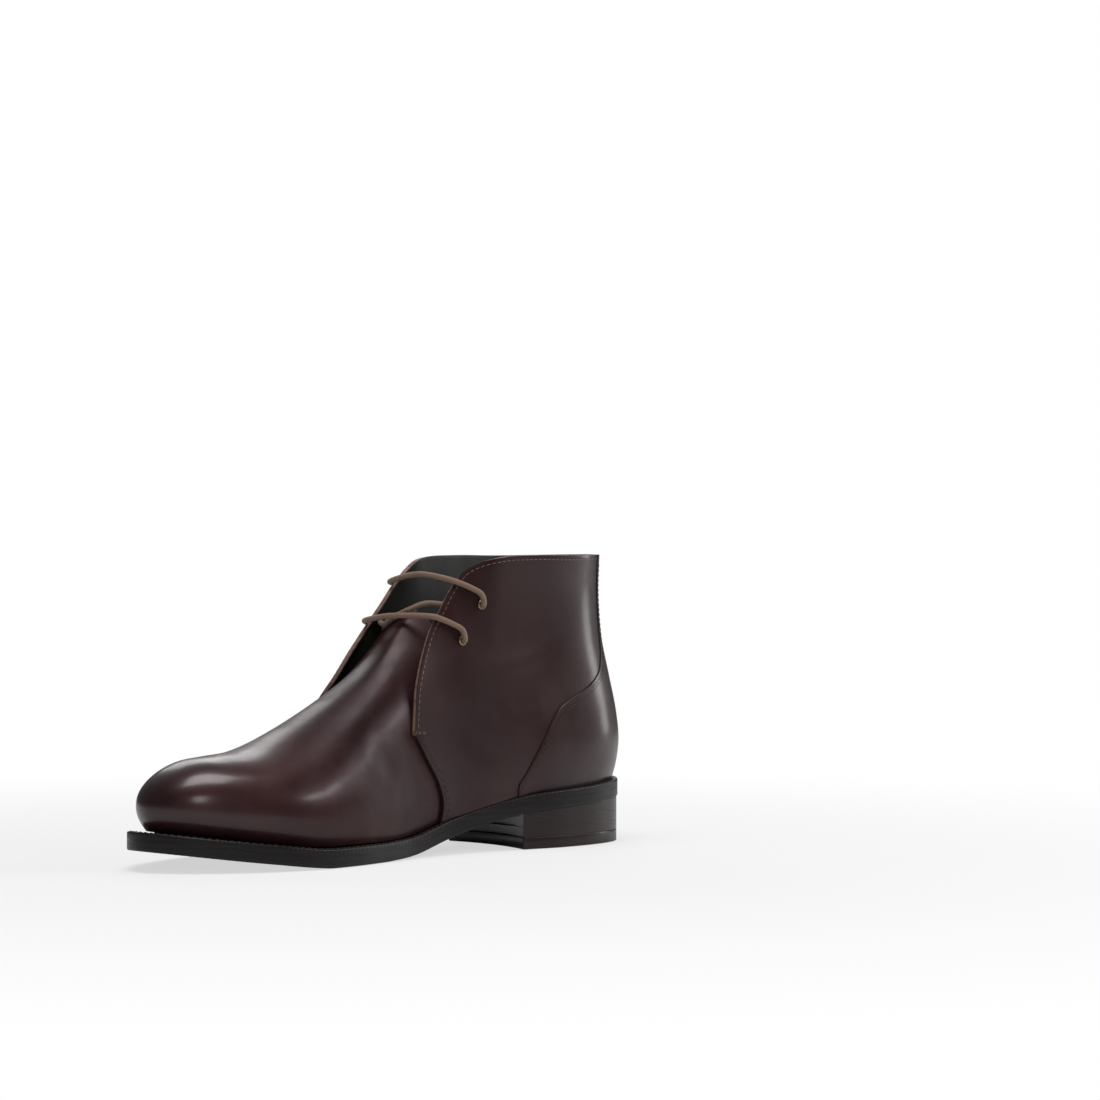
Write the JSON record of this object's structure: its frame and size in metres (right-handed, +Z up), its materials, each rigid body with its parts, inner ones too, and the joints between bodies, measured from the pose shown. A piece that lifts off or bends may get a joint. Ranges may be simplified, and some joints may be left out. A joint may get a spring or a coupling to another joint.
{
  "type": "chukka boot",
  "caption": "Ankle-high lace-up boot with open facings, plain rounded toe, hollow leather upper, welted leather sole and stacked heel.",
  "frame": {"origin": "middle of the boot's outline, on the floor it stands on", "axes": "+Y points from the heel to the toe, +Z up, +X to the outer (little toe) side of this right boot"},
  "size_m": [0.1018, 0.3, 0.1468],
  "materials": {
    "upper_leather": "polished dark brown-burgundy calf, soft mirror highlights",
    "lining_leather": "smooth dark green-black lining leather",
    "sole_leather": "burgundy glossed sole leather with a near-black burnished edge",
    "edge_leather": "near-black burnished edge",
    "heel_leather": "burnished stacked leather",
    "heel_rubber": "dark grey matt rubber",
    "eyelet_brass": "antique brass, small bright rim",
    "lace_cord": "taupe-brown round waxed cotton cord"
  },
  "bodies": {
    "root": {"upper": "upper_leather", "tongue": "upper_leather", "outsole": "sole_leather", "welt": "edge_leather", "insole": "lining_leather", "heel_lift_lower": "heel_leather", "heel_lift_middle": "heel_leather", "heel_lift_seat": "heel_leather", "heel_top_piece": "heel_leather", "heel_rubber_corner": "heel_rubber", "eyelet_medial_lower": "eyelet_brass", "eyelet_lateral_lower": "eyelet_brass", "eyelet_medial_upper": "eyelet_brass", "eyelet_lateral_upper": "eyelet_brass", "lace_bar_lower": "lace_cord", "lace_bar_upper": "lace_cord", "lace_diagonal": "lace_cord"}
  },
  "joints": []
}
